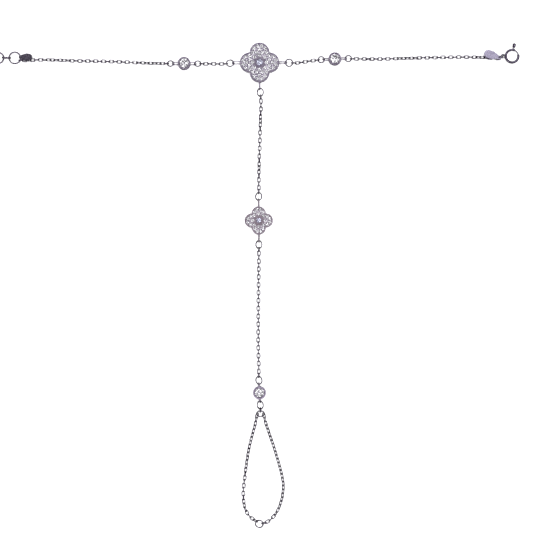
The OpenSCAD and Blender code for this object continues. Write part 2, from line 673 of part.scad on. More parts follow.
// Finger loop strands: one swept tube each, of the chain's outer width
strand_sides = 10;
strand_steps = 4;
function bend(a, b, c, d, t) = 0.5 * (2 * b + (c - a) * t + (2 * a - 5 * b + 4 * c - d) * t * t
  + (3 * b - a - 3 * c + d) * t * t * t);
function smooth_route(route) = let (last = len(route) - 1) concat(
  [for (i = [0:last - 1]) for (k = [0:strand_steps - 1])
    bend(route[max(i - 1, 0)], route[i], route[i + 1], route[min(i + 2, last)], k / strand_steps)],
  [route[last]]);
module strand_tube(route) {
  line = smooth_route(route);
  last = len(line) - 1;
  origin = [finger_ring_c[0], finger_ring_c[1]];
  rings = [for (i = [0:last])
    let (ahead = line[min(i + 1, last)] - line[max(i - 1, 0)],
         across = [-ahead[1], ahead[0]] / norm(ahead))
    for (k = [0:strand_sides - 1])
      let (a = 360 * (k + 0.5) / strand_sides, p = origin + line[i] + across * cos(a) * link_width / 2)
      [p[0], p[1], rest_z + sin(a) * link_width / 2]];
  faces = concat(
    [[for (k = [0:strand_sides - 1]) k]],
    [for (i = [0:last - 1]) for (k = [0:strand_sides - 1])
      let (n = (k + 1) % strand_sides, a = i * strand_sides, b = a + strand_sides)
      [a + k, b + k, b + n, a + n]],
    [[for (k = [0:strand_sides - 1]) last * strand_sides + strand_sides - 1 - k]]);
  color(silver) polyhedron(points = rings, faces = faces, convexity = 6);
}
module finger_strand_left() { strand_tube(left_strand_route); }
module finger_strand_right() { strand_tube(right_strand_route); }

// The closing ring's lower edge rests on the table, its upper side at the strands' height
closing_ring_turn = 60;
closing_ring_pitch = 15;
closing_ring_z = (hand_ring_d - ring_wire) / 2 * sin(closing_ring_pitch) + ring_wire / 2 + lift;
module finger_closing_ring() {
  color(silver)
    translate([finger_ring_c[0] + closing_ring_at[0], finger_ring_c[1] + closing_ring_at[1],
               closing_ring_z])
      rotate([0, 0, closing_ring_turn]) rotate([0, -closing_ring_pitch, 0])
        round_ring(hand_ring_d, ring_wire);
}

big_clover_setting();
big_clover_centre_stone();
big_clover_pave();
small_clover_setting();
small_clover_centre_stone();
small_clover_pave();
left_bezel_cup();
left_bezel_stone();
right_bezel_cup();
right_bezel_stone();
drop_bezel_cup();
drop_bezel_stone();
left_inner_chain();
left_outer_chain();
right_inner_chain();
right_outer_chain();
upper_hand_chain();
lower_hand_chain();
left_clover_ring();
left_stone_inner_ring();
left_stone_outer_ring();
right_clover_ring();
right_stone_inner_ring();
right_stone_outer_ring();
near_extension_ring();
extension_link();
end_extension_ring();
left_tag();
clasp_ring();
right_tag();
clasp_body();
clasp_bolt();
hand_top_ring();
small_clover_top_ring();
small_clover_bottom_ring();
drop_top_ring();
drop_bottom_ring();
finger_link();
finger_ring();
finger_strand_left();
finger_strand_right();
finger_closing_ring();
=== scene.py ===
"""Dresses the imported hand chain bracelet: stones, bead prongs, strand links, finishes and light."""

import logging
import math
from dataclasses import dataclass, field
from enum import Enum

import bmesh
import bpy
from mathutils import Matrix, Vector


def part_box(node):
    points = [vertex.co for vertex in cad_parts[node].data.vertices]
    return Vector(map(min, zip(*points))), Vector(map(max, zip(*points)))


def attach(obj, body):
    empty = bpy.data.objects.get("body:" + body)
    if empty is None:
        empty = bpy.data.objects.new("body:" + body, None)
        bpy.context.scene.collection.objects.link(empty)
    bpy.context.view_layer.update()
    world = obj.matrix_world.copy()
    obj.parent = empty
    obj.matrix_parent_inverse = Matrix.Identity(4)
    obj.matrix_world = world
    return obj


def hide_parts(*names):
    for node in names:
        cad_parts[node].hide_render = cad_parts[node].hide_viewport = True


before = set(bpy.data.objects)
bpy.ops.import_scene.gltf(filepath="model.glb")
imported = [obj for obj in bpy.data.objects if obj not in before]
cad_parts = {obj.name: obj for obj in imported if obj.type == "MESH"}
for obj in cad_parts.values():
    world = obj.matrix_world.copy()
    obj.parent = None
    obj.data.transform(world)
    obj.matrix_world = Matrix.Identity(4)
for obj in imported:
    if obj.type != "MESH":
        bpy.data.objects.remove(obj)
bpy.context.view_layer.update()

LOG = logging.getLogger("hand_chain")
MM = 0.001
BRACELET_BODY = "bracelet"

Point = tuple[float, float, float]
PlanePoint = tuple[float, float]
Colour = tuple[float, float, float]
Face = tuple[int, ...]
Triple = tuple[Vector, tuple[int, int, int]]


class Slot(Enum):
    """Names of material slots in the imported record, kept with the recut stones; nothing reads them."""

    POLISHED = "polished_metal"
    CHAIN = "chain_metal"
    CLEAR = "clear_stone"
    TINTED = "tinted_stone"


# Finishes


@dataclass(frozen=True)
class NodeFeed:
    """A shader tree under construction, with the coordinates that its textures share.

    Args:
        tree: The material's node tree.
        shader: Its Principled BSDF.
        coords: The output socket that carries object coordinates.
    """

    tree: bpy.types.NodeTree
    shader: bpy.types.Node
    coords: bpy.types.NodeSocket

    def add(self, kind: str, **values: object) -> bpy.types.Node:
        """Adds a node and sets its attributes.

        Args:
            kind: The node's type name.
            **values: Attributes to set on it.

        Returns:
            The new node.
        """
        node = self.tree.nodes.new(kind)
        for key, value in values.items():
            setattr(node, key, value)
        return node

    def noise(self, scale: float, detail: float) -> bpy.types.NodeSocket:
        """Adds a noise texture in object coordinates.

        Args:
            scale: Features per metre.
            detail: Octaves of the noise.

        Returns:
            The texture's factor output.
        """
        texture = self.add("ShaderNodeTexNoise")
        texture.inputs["Scale"].default_value = scale
        texture.inputs["Detail"].default_value = detail
        self.tree.links.new(self.coords, texture.inputs["Vector"])
        return texture.outputs["Fac"]

    def ramp(self, fac: bpy.types.NodeSocket, low: Colour, high: Colour) -> bpy.types.NodeSocket:
        """Maps a factor to a blend of two colours.

        Args:
            fac: The factor's socket.
            low: Colour at factor 0.35.
            high: Colour at factor 0.65.

        Returns:
            The ramp's colour output.
        """
        node = self.add("ShaderNodeValToRGB")
        first, second = node.color_ramp.elements
        first.position, first.color = 0.35, (*low, 1.0)
        second.position, second.color = 0.65, (*high, 1.0)
        self.tree.links.new(fac, node.inputs["Fac"])
        return node.outputs["Color"]

    def span(self, fac: bpy.types.NodeSocket, low: float, high: float) -> bpy.types.NodeSocket:
        """Maps a factor of 0 to 1 to a range of numbers.

        Args:
            fac: The factor's socket.
            low: Value at factor 0.3.
            high: Value at factor 0.7.

        Returns:
            The mapped value's output.
        """
        node = self.add("ShaderNodeMapRange")
        node.inputs["From Min"].default_value = 0.3
        node.inputs["From Max"].default_value = 0.7
        node.inputs["To Min"].default_value = low
        node.inputs["To Max"].default_value = high
        self.tree.links.new(fac, node.inputs["Value"])
        return node.outputs["Result"]


def new_feed(name: str) -> tuple[bpy.types.Material, NodeFeed]:
    """Makes an empty node material.

    Args:
        name: The material's name.

    Returns:
        The material and its shader tree.
    """
    material = bpy.data.materials.new(name)
    material.use_nodes = True
    tree = material.node_tree
    shader = next(node for node in tree.nodes if node.type == "BSDF_PRINCIPLED")
    coords = tree.nodes.new("ShaderNodeTexCoord").outputs["Object"]
    return material, NodeFeed(tree, shader, coords)


@dataclass(frozen=True)
class WhiteMetal:
    """Rhodium-bright silver: tumbled polish, hairline wear and a faint tone change.

    Args:
        name: Material name.
        tone: Base colour where the metal is cleanest.
        dull: Base colour where it is worn or slightly tarnished.
        gloss: Lowest and highest roughness.
        grain: Hairline scratches per metre.
        relief: Strength of the surface relief.
        edge: Radius in metres that the shader rounds sharp edges to.
        mirror: Share of the surface that mirrors. The rest scatters, as frosted metal does.
        tarnish: Patches of changed tone per metre.
        wear: Patches of changed gloss per metre.
        scratch: Depth of a hairline scratch in metres.
    """

    name: str
    tone: Colour
    dull: Colour
    gloss: tuple[float, float] = (0.1, 0.2)
    grain: float = 9000.0
    relief: float = 0.05
    edge: float = 0.00005
    mirror: float = 1.0
    tarnish: float = 420.0
    wear: float = 2600.0
    scratch: float = 0.00002

    def build(self) -> bpy.types.Material:
        """Makes the node material.

        Returns:
            The finished material.
        """
        material, feed = new_feed(self.name)
        links = feed.tree.links
        patches = feed.noise(self.tarnish, 3.0)
        links.new(feed.ramp(patches, self.dull, self.tone), feed.shader.inputs["Base Color"])
        links.new(feed.span(feed.noise(self.wear, 4.0), *self.gloss), feed.shader.inputs["Roughness"])
        feed.shader.inputs["Metallic"].default_value = self.mirror
        rounded = feed.add("ShaderNodeBevel", samples=4)
        rounded.inputs["Radius"].default_value = self.edge
        bump = feed.add("ShaderNodeBump")
        bump.inputs["Strength"].default_value = self.relief
        bump.inputs["Distance"].default_value = self.scratch
        links.new(feed.noise(self.grain, 5.0), bump.inputs["Height"])
        links.new(rounded.outputs["Normal"], bump.inputs["Normal"])
        links.new(bump.outputs["Normal"], feed.shader.inputs["Normal"])
        return material


@dataclass(frozen=True)
class CutStone:
    """A clear cut stone that bends light strongly, with faint clouds inside.

    Args:
        name: Material name.
        tone: Colour of the light that comes through.
        cloud: Colour where the stone is slightly cloudy.
        ior: Index of refraction.
        clear: Share of the light that passes. The rest scatters on the facets.
        clouds: Clouds per metre.
        rub: Patches of handling wear per metre.
        rough: Roughness where the stone is most worn.
    """

    name: str
    tone: Colour
    cloud: Colour
    ior: float = 2.15
    clear: float = 0.92
    clouds: float = 1500.0
    rub: float = 5000.0
    rough: float = 0.03

    def build(self) -> bpy.types.Material:
        """Makes the node material.

        Returns:
            The finished material.
        """
        material, feed = new_feed(self.name)
        links = feed.tree.links
        cloudy = feed.ramp(feed.noise(self.clouds, 2.0), self.cloud, self.tone)
        links.new(cloudy, feed.shader.inputs["Base Color"])
        links.new(feed.span(feed.noise(self.rub, 2.0), 0.0, self.rough), feed.shader.inputs["Roughness"])
        feed.shader.inputs["Transmission Weight"].default_value = self.clear
        feed.shader.inputs["IOR"].default_value = self.ior
        return material


@dataclass(frozen=True)
class PaperSweep:
    """The white paper that the piece lies on.

    Args:
        name: Material name.
        tone: Paper colour.
        mottle: How much darker the paper is between its fibres, as a factor.
        fibres: Fibre clumps per metre.
        rough: Roughness.
        sheen: Strength of its mirror light.
    """

    name: str
    tone: Colour
    mottle: float = 0.985
    fibres: float = 90.0
    rough: float = 0.9
    sheen: float = 0.1

    def build(self) -> bpy.types.Material:
        """Makes the node material.

        Returns:
            The finished material.
        """
        material, feed = new_feed(self.name)
        links = feed.tree.links
        low = tuple(self.mottle * part for part in self.tone)
        mottled = feed.ramp(feed.noise(self.fibres, 4.0), low, self.tone)
        links.new(mottled, feed.shader.inputs["Base Color"])
        feed.shader.inputs["Roughness"].default_value = self.rough
        feed.shader.inputs["Specular IOR Level"].default_value = self.sheen
        return material


@dataclass
class Finishes:
    """All materials of the scene, built once.

    Args:
        polished: Jump rings and extension rings.
        clasp: Spring ring and bolt, glossier and in a darker tone than the rings: painted shade for the
            deepest shadows.
        setting: Large clover, in a darker tone than the cups: painted shade for the dark gaps between the
            stones.
        warm_setting: Small clover, in a slightly warmer tone.
        cup: Bezel cups.
        chain: Chain wire.
        beads: Bead prongs.
        painted_shade_tag: The left tag, in a darker copy of the tag finish: painted shade.
        painted_light_tag: The right tag, in a lighter copy that also scatters more: painted light.
        clear: Pave stones.
        bright: The three larger stones in cups.
        tinted: Stones with a blue cast.
        paper: The ground.
    """

    polished: bpy.types.Material = field(init=False)
    clasp: bpy.types.Material = field(init=False)
    setting: bpy.types.Material = field(init=False)
    warm_setting: bpy.types.Material = field(init=False)
    cup: bpy.types.Material = field(init=False)
    chain: bpy.types.Material = field(init=False)
    beads: bpy.types.Material = field(init=False)
    painted_shade_tag: bpy.types.Material = field(init=False)
    painted_light_tag: bpy.types.Material = field(init=False)
    clear: bpy.types.Material = field(init=False)
    bright: bpy.types.Material = field(init=False)
    tinted: bpy.types.Material = field(init=False)
    paper: bpy.types.Material = field(init=False)

    def __post_init__(self) -> None:
        """Builds each material."""
        self.polished = WhiteMetal("polished_silver", (0.58, 0.5, 0.65), (0.38, 0.32, 0.44)).build()
        # Darker tone than the rings: painted shade for the clasp's deepest shadows.
        self.clasp = WhiteMetal("clasp_silver", (0.52, 0.46, 0.6), (0.3, 0.26, 0.36),
                                gloss=(0.06, 0.14)).build()
        # Darker tone than the cups: painted shade for the gaps between the stones.
        self.setting = WhiteMetal("setting_silver", (0.78, 0.7, 0.85), (0.54, 0.47, 0.62),
                                  mirror=0.9).build()
        self.warm_setting = WhiteMetal("warm_setting_silver", (0.9, 0.78, 0.87), (0.7, 0.58, 0.66),
                                       mirror=0.93).build()
        self.cup = WhiteMetal("cup_silver", (0.9, 0.81, 0.98), (0.66, 0.57, 0.74), mirror=0.95).build()
        self.chain = WhiteMetal("chain_silver", (0.56, 0.47, 0.63), (0.34, 0.27, 0.39), edge=0.0).build()
        self.beads = WhiteMetal("bead_silver", (0.8, 0.76, 0.86), (0.62, 0.58, 0.69), gloss=(0.15, 0.3),
                                edge=0.0, mirror=0.65).build()
        # The two tags share one finish in a darker and a lighter copy: painted shade on the left tag, painted
        # light on the right.
        self.painted_shade_tag = WhiteMetal("painted_shade_tag_silver", (0.62, 0.57, 0.7), (0.42, 0.38, 0.48),
                                   gloss=(0.22, 0.34), relief=0.12).build()
        self.painted_light_tag = WhiteMetal("painted_light_tag_silver", (0.8, 0.74, 0.97), (0.67, 0.61, 0.83),
                                    gloss=(0.22, 0.34), relief=0.12, mirror=0.84).build()
        self.clear = CutStone("clear_cut_stone", (1.0, 1.0, 1.0), (0.95, 0.95, 0.99)).build()
        self.bright = CutStone("bright_cut_stone", (1.0, 1.0, 1.0), (0.98, 0.98, 1.0), clear=0.96).build()
        self.tinted = CutStone("blue_cast_stone", (0.84, 0.85, 1.0), (0.74, 0.76, 0.97)).build()
        self.paper = PaperSweep("white_paper", (0.93, 0.93, 0.94)).build()


# Meshes


@dataclass
class MeshSheet:
    """Vertices and faces gathered from many copies of small shapes, joined into one object.

    Args:
        smooth: Whether faces are shaded round.
        verts: Corner points in metres.
        faces: Corner indices of each face.
    """

    smooth: bool
    verts: list[Vector] = field(default_factory=list)
    faces: list[Face] = field(default_factory=list)

    def add(self, verts: list[Vector], faces: list[Face], place: Matrix) -> None:
        """Adds one copy of a shape.

        Args:
            verts: The shape's points.
            faces: The shape's faces.
            place: Where the copy goes.
        """
        start = len(self.verts)
        self.verts.extend(place @ vert for vert in verts)
        self.faces.extend(tuple(start + index for index in face) for face in faces)

    def build(self, name: str, material: bpy.types.Material) -> bpy.types.Object:
        """Makes the object.

        Args:
            name: Object name.
            material: Its finish.

        Returns:
            The linked object.
        """
        mesh = bpy.data.meshes.new(name)
        mesh.from_pydata([tuple(vert) for vert in self.verts], [], self.faces)
        shape = bmesh.new()
        shape.from_mesh(mesh)
        bmesh.ops.recalc_face_normals(shape, faces=shape.faces)
        shape.to_mesh(mesh)
        shape.free()
        mesh.polygons.foreach_set("use_smooth", [self.smooth] * len(mesh.polygons))
        mesh.materials.append(material)
        piece = bpy.data.objects.new(name, mesh)
        bpy.context.scene.collection.objects.link(piece)
        return piece


def swept_loop(line: list[Vector], radius: float, sides: int) -> tuple[list[Vector], list[Face]]:
    """Sweeps a round wire along a closed flat line in the XY plane.

    Args:
        line: The line's points, in order.
        radius: Wire radius.
        sides: Corners of the wire's section.

    Returns:
        The wire's points and faces.
    """
    count = len(line)
    verts: list[Vector] = []
    for index, point in enumerate(line):
        ahead = line[(index + 1) % count] - line[index - 1]
        across = Vector((ahead.y, -ahead.x, 0.0)).normalized()
        for side in range(sides):
            angle = math.tau * side / sides
            rise = Vector((0, 0, radius * math.sin(angle)))
            verts.append(point + across * (radius * math.cos(angle)) + rise)
    faces = [(index * sides + side, index * sides + (side + 1) % sides,
              (index + 1) % count * sides + (side + 1) % sides, (index + 1) % count * sides + side)
             for index in range(count) for side in range(sides)]
    return verts, faces


@dataclass(frozen=True)
class Brilliant:
    """A round brilliant cut with a table, stars, kites and split girdle facets.

    Its girdle's lower edge is at height 0 and its diameter is 1.

    Args:
        table: Table width.
        crown: Height from girdle to table.
        girdle: Girdle height.
        pavilion: Depth below the girdle.
        folds: Symmetry of the cut.
        kite_r: Radius of the kite facets' corners.
        keel_r: Radius where the lower girdle facets end.
    """

    table: float = 0.56
    crown: float = 0.16
    girdle: float = 0.03
    pavilion: float = 0.38
    folds: int = 8
    kite_r: float = 0.4
    keel_r: float = 0.12

    def ring(self, radius: float, height: float, turn: float, count: int) -> list[Vector]:
        """Lists points on a level circle.

        Args:
            radius: Circle radius.
            height: Its height.
            turn: Angle of the first point, in steps.
            count: Number of points.

        Returns:
            The points.
        """
        step = math.tau / count
        angles = [(index + turn) * step for index in range(count)]
        return [Vector((radius * math.cos(angle), radius * math.sin(angle), height)) for angle in angles]

    def shape(self) -> tuple[list[Vector], list[Face]]:
        """Builds the cut.

        Returns:
            Points and faces of a stone of diameter 1.
        """
        folds, double = self.folds, 2 * self.folds
        half_step = math.cos(math.pi / folds)
        top = self.girdle + self.crown
        kite_z = self.girdle + self.crown * (0.5 - self.kite_r * half_step) / (0.5 - self.table / 2)
        keel_z = -self.pavilion * (1 - self.keel_r * half_step / 0.5)
        table = self.ring(self.table / 2, top, 0, folds)
        kites = self.ring(self.kite_r, kite_z, 0.5, folds)
        upper = self.ring(0.5, self.girdle, 0, double)
        lower = self.ring(0.5, 0.0, 0, double)
        keels = self.ring(self.keel_r, keel_z, 0.5, folds)
        verts = table + kites + upper + lower + keels + [Vector((0, 0, -self.pavilion))]
        t0, k0, u0 = 0, folds, 2 * folds
        l0 = u0 + double
        p0 = l0 + double
        culet = p0 + folds
        faces: list[Face] = [tuple(range(folds))]
        for index in range(folds):
            after, before = (index + 1) % folds, (index - 1) % folds
            corner, middle, last = 2 * index, 2 * index + 1, (2 * index + 2) % double
            faces += [(t0 + index, k0 + index, t0 + after),
                      (t0 + index, k0 + before, u0 + corner, k0 + index),
                      (k0 + index, u0 + corner, u0 + middle), (k0 + index, u0 + middle, u0 + last),
                      (u0 + corner, l0 + corner, l0 + middle, u0 + middle),
                      (u0 + middle, l0 + middle, l0 + last, u0 + last),
                      (p0 + index, l0 + middle, l0 + corner), (p0 + index, l0 + last, l0 + middle),
                      (culet, p0 + index, l0 + corner, p0 + before)]
        return verts, faces


# Stones


@dataclass(frozen=True)
class Seat:
    """One set stone's place.

    Args:
        x: Middle of the stone.
        y: Middle of the stone.
        girdle_z: Height of the girdle's lower edge.
        width: Stone diameter.
    """

    x: float
    y: float
    girdle_z: float
    width: float

    def away(self, other: "Seat") -> float:
        """Measures the distance between two stones' middles.

        Args:
            other: The other stone.

        Returns:
            The distance in metres.
        """
        return math.hypot(self.x - other.x, self.y - other.y)


def islands(node: str) -> list[list[Vector]]:
    """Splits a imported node's mesh into its loose solids.

    Args:
        node: The node's name.

    Returns:
        The points of each solid.
    """
    shape = bmesh.new()
    shape.from_mesh(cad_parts[node].data)
    bmesh.ops.remove_doubles(shape, verts=shape.verts, dist=1e-7)
    seen: set[int] = set()
    groups: list[list[Vector]] = []
    shape.verts.ensure_lookup_table()
    for vert in shape.verts:
        if vert.index in seen:
            continue
        queue, group = [vert], []
        seen.add(vert.index)
        while queue:
            here = queue.pop()
            group.append(here.co.copy())
            for edge in here.link_edges:
                other = edge.other_vert(here)
                if other.index not in seen:
                    seen.add(other.index)
                    queue.append(other)
        groups.append(group)
    shape.free()
    return groups


@dataclass
class StoneSet:
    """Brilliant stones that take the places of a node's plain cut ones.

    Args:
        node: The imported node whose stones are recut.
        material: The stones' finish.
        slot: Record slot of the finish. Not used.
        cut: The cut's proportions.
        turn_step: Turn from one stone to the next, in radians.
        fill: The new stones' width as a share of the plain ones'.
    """

    node: str
    material: bpy.types.Material
    slot: Slot
    cut: Brilliant = field(default_factory=Brilliant)
    turn_step: float = 0.7
    fill: float = 0.995

    def seats(self) -> list[Seat]:
        """Reads each stone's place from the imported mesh.

        Returns:
            One seat a stone.
        """
        depth = self.cut.crown + self.cut.girdle + self.cut.pavilion
        found = []
        for points in islands(self.node):
            low, high = min(p.z for p in points), max(p.z for p in points)
            width = (high - low) / depth
            culet = min(points, key=lambda p: p.z)
            found.append(Seat(culet.x, culet.y, low + self.cut.pavilion * width, width))
        return found

    def build(self) -> bpy.types.Object:
        """Makes the recut stones.

        Returns:
            The joined stones.
        """
        seats = self.seats()
        verts, faces = self.cut.shape()
        sheet = MeshSheet(smooth=False)
        for index, seat in enumerate(seats):
            turn = Matrix.Rotation(self.turn_step * index, 4, "Z")
            sheet.add(verts, faces, Matrix.Translation((seat.x, seat.y, seat.girdle_z)) @ turn
                      @ Matrix.Scale(seat.width * self.fill, 4))
        piece = sheet.build(f"{self.node}_cut", self.material)
        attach(piece, BRACELET_BODY)
        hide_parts(self.node)
        LOG.info("%s: %d stones", piece.name, len(seats))
        return piece


@dataclass
class BeadProngs:
    """Round beads raised from the bed that hold the pave stones.

    Args:
        name: Object name.
        seats: The stones that they hold.
        material: Their finish.
        rise: Bead height over the girdle's lower edge, in stone diameters.
        reach: Longest side between two stones that share a bead, in stone diameters.
        outer_reach: The same for a bead between two stones and the rim.
        outer_shift: That bead's distance from the line between its stones.
        most: Largest bead radius, in stone diameters.
        least: Smallest bead radius.
        rim_radius: Radius of a bead at the rim.
        lap: How far from a stone's middle a bead may reach.
        root: Depth of a bead's foot under the girdle, in metres.
    """

    name: str
    seats: list[Seat]
    material: bpy.types.Material
    rise: float = 0.13
    reach: float = 1.75
    outer_reach: float = 1.3
    outer_shift: float = 0.3
    most: float = 0.23
    least: float = 0.06
    rim_radius: float = 0.14
    lap: float = 0.42
    root: float = 0.1 * MM

    def triples(self) -> list[Triple]:
        """Finds the gaps between three neighbouring stones.

        Returns:
            Each gap's middle and the stones' numbers.
        """
        seats = self.seats
        width = seats[0].width
        found = []
        for a in range(len(seats)):
            for b in range(a + 1, len(seats)):
                if seats[a].away(seats[b]) > self.reach * width:
                    continue
                for c in range(b + 1, len(seats)):
                    if max(seats[a].away(seats[c]), seats[b].away(seats[c])) > self.reach * width:
                        continue
                    middle = circumcentre(seats[a], seats[b], seats[c])
                    if middle is None:
                        continue
                    radius = math.hypot(middle.x - seats[a].x, middle.y - seats[a].y)
                    nearest = min(math.hypot(middle.x - s.x, middle.y - s.y) for s in seats)
                    if nearest > radius - 1e-6:
                        found.append((middle, (a, b, c)))
        return found

    def rim_beads(self, triples: list[Triple]) -> list[Vector]:
        """Places beads on the rim's side of each outer pair of stones.

        Args:
            triples: The gaps between three stones.

        Returns:
            The beads' middles.
        """
        sides: dict[tuple[int, int], list[int]] = {}
        for _, (a, b, c) in triples:
            for pair, other in (((a, b), c), ((b, c), a), ((a, c), b)):
                sides.setdefault(pair, []).append(other)
        beads = []
        for (a, b), others in sides.items():
            first, second = self.seats[a], self.seats[b]
            if len(others) > 1 or first.away(second) > self.outer_reach * first.width:
                continue
            middle = Vector(((first.x + second.x) / 2, (first.y + second.y) / 2, 0.0))
            inner = self.seats[others[0]]
            along = Vector((second.x - first.x, second.y - first.y, 0.0)).normalized()
            out = Vector((-along.y, along.x, 0.0))
            if out.dot(Vector((inner.x, inner.y, 0.0)) - middle) > 0:
                out = -out
            beads.append(middle + out * (self.outer_shift * first.width))
        return beads

    def fit(self, middle: Vector) -> float:
        """Finds the radius of a bead that just laps over the stones round it.

        Args:
            middle: The bead's middle.

        Returns:
            The radius.
        """
        width = self.seats[0].width
        nearest = min(math.hypot(middle.x - seat.x, middle.y - seat.y) for seat in self.seats)
        return min(self.most * width, nearest - self.lap * width)

    def joined(self, spots: list[tuple[Vector, float]]) -> list[tuple[Vector, float]]:
        """Makes one bead of two that would run together.

        Args:
            spots: Each bead's middle and radius.

        Returns:
            The beads that are left, none touching another.
        """
        kept: list[tuple[Vector, float]] = []
        for middle, radius in spots:
            for index, (other, reach) in enumerate(kept):
                if math.hypot(middle.x - other.x, middle.y - other.y) < radius + reach:
                    shared = (middle + other) / 2
                    kept[index] = (shared, self.fit(shared))
                    break
            else:
                kept.append((middle, radius))
        return kept

    def build(self) -> bpy.types.Object:
        """Makes the beads as one mesh.

        Returns:
            The joined beads.
        """
        width, bed = self.seats[0].width, self.seats[0].girdle_z
        triples = self.triples()
        spots = [(middle, self.fit(middle)) for middle, _ in triples]
        spots += [(middle, self.rim_radius * width) for middle in self.rim_beads(triples)]
        spots = self.joined([spot for spot in spots if spot[1] >= self.least * width])
        verts, faces = dome(8, 3)
        sheet = MeshSheet(smooth=True)
        for middle, radius in spots:
            foot = bed - self.root
            height = self.rise * width + self.root
            sheet.add(verts, faces, Matrix.Translation((middle.x, middle.y, foot))
                      @ Matrix.Diagonal((radius, radius, height, 1.0)))
        piece = sheet.build(self.name, self.material)
        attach(piece, BRACELET_BODY)
        LOG.info("%s: %d beads", self.name, len(spots))
        return piece


def circumcentre(a: Seat, b: Seat, c: Seat) -> Vector | None:
    """Finds the point as far from three stones' middles.

    Args:
        a: First stone.
        b: Second stone.
        c: Third stone.

    Returns:
        The point, or None where the stones are in line.
    """
    area = 2 * (a.x * (b.y - c.y) + b.x * (c.y - a.y) + c.x * (a.y - b.y))
    if abs(area) < 1e-9:
        return None
    square_a, square_b, square_c = (s.x ** 2 + s.y ** 2 for s in (a, b, c))
    x = (square_a * (b.y - c.y) + square_b * (c.y - a.y) + square_c * (a.y - b.y)) / area
    y = (square_a * (c.x - b.x) + square_b * (a.x - c.x) + square_c * (b.x - a.x)) / area
    return Vector((x, y, 0.0))


def dome(sides: int, rings: int) -> tuple[list[Vector], list[Face]]:
    """Builds a closed half ball of radius 1 with its flat side at height 0.

    Args:
        sides: Corners around.
        rings: Rings between the foot and the top.

    Returns:
        Points and faces.
    """
    verts: list[Vector] = []
    for ring in range(rings):
        lift = math.pi / 2 * ring / rings
        verts += [Vector((math.cos(lift) * math.cos(math.tau * side / sides),
                          math.cos(lift) * math.sin(math.tau * side / sides), math.sin(lift)))
                  for side in range(sides)]
    verts.append(Vector((0, 0, 1)))
    faces: list[Face] = [tuple(reversed(range(sides)))]
    for ring in range(rings - 1):
        for side in range(sides):
            after = (side + 1) % sides
            faces.append((ring * sides + side, ring * sides + after,
                          (ring + 1) * sides + after, (ring + 1) * sides + side))
    top = rings * sides
    faces += [(top - sides + side, top - sides + (side + 1) % sides, top) for side in range(sides)]
    return verts, faces


# Chain


@dataclass(frozen=True)
class CableLink:
    """One oval link of the cable chain.

    Args:
        length: Outer length.
        width: Outer width.
        wire: Wire diameter.
        sides: Corners of the wire's section.
        bend_steps: Points round each end.
    """

    length: float = 1.99 * MM
    width: float = 1.3 * MM
    wire: float = 0.28 * MM
    sides: int = 10
    bend_steps: int = 12

    def shape(self) -> tuple[list[Vector], list[Face]]:
        """Builds the link, long along X, flat in the XY plane.

        Returns:
            Points and faces.
        """
        bend = (self.width - self.wire) / 2
        half = (self.length - self.width) / 2
        line = []
        for side, start in ((1, -90), (-1, 90)):
            for step in range(self.bend_steps + 1):
                angle = math.radians(start + 180 * step / self.bend_steps)
                line.append(Vector((side * half + bend * math.cos(angle), bend * math.sin(angle), 0.0)))
        return swept_loop(line, self.wire / 2, self.sides)


@dataclass(frozen=True)
class Route:
    """A smooth line through a few points over the table.

    Args:
        points: The points in millimetres, from the finger ring's middle and up from the table.
        origin: The finger ring's middle in metres.
    """

    points: list[Point]
    origin: Vector

    def dense(self, steps: int = 24) -> list[Vector]:
        """Samples the line finely.

        Args:
            steps: Samples between two points.

        Returns:
            The samples.
        """
        pts = [Vector((self.origin.x + x * MM, self.origin.y + y * MM, z * MM)) for x, y, z in self.points]
        last = len(pts) - 1
        line = []
        for index in range(last):
            a, b, c, d = pts[max(index - 1, 0)], pts[index], pts[index + 1], pts[min(index + 2, last)]
            for step in range(steps):
                t = step / steps
                line.append(0.5 * (2 * b + (c - a) * t + (2 * a - 5 * b + 4 * c - d) * t ** 2
                                   + (3 * b - a - 3 * c + d) * t ** 3))
        line.append(pts[-1])
        return line


@dataclass
class CableStrand:
    """A run of real chain links along one side of the finger loop.

    Args:
        node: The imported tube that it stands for.
        route: The line that it follows.
        material: The wire's finish.
        twist: Rows of a link's number and the strand's roll there, in degrees.
        play: Gap between two hooked wires.
        link: The link's sizes.
    """

    node: str
    route: Route
    material: bpy.types.Material
    twist: list[PlanePoint]
    play: float = 0.12 * MM
    link: CableLink = field(default_factory=CableLink)

    def build(self) -> bpy.types.Object:
        """Makes the links as one mesh.

        Returns:
            The joined links.
        """
        line = self.route.dense()
        lengths = [0.0]
        for before, after in zip(line, line[1:]):
            lengths.append(lengths[-1] + (after - before).length)
        pitch = self.link.length - 2 * self.link.wire - self.play
        count = max(2, round((lengths[-1] - self.link.length) / pitch) + 1)
        spare = lengths[-1] - self.link.length - (count - 1) * pitch
        pitch += spare / (count - 1)
        verts, faces = self.link.shape()
        sheet = MeshSheet(smooth=True)
        for index in range(count):
            start = index * pitch
            tail = point_along(line, lengths, start + self.link.wire / 2)
            head = point_along(line, lengths, start + self.link.length - self.link.wire / 2)
            roll = 90 * index + table_value(self.twist, index)
            sheet.add(verts, faces, between(tail, head, roll))
        piece = sheet.build(f"{self.node}_links", self.material)
        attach(piece, BRACELET_BODY)
        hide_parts(self.node)
        LOG.info("%s: %d links, pitch %.3f mm", piece.name, count, pitch / MM)
        return piece


def point_along(line: list[Vector], lengths: list[float], distance: float) -> Vector:
    """Finds a point at a length along a sampled line.

    Args:
        line: The samples.
        lengths: Length at each sample.
        distance: The wanted length.

    Returns:
        The point.
    """
    for index in range(1, len(line)):
        if lengths[index] >= distance or index == len(line) - 1:
            span = lengths[index] - lengths[index - 1]
            return line[index - 1].lerp(line[index], (distance - lengths[index - 1]) / span)
    return line[-1]


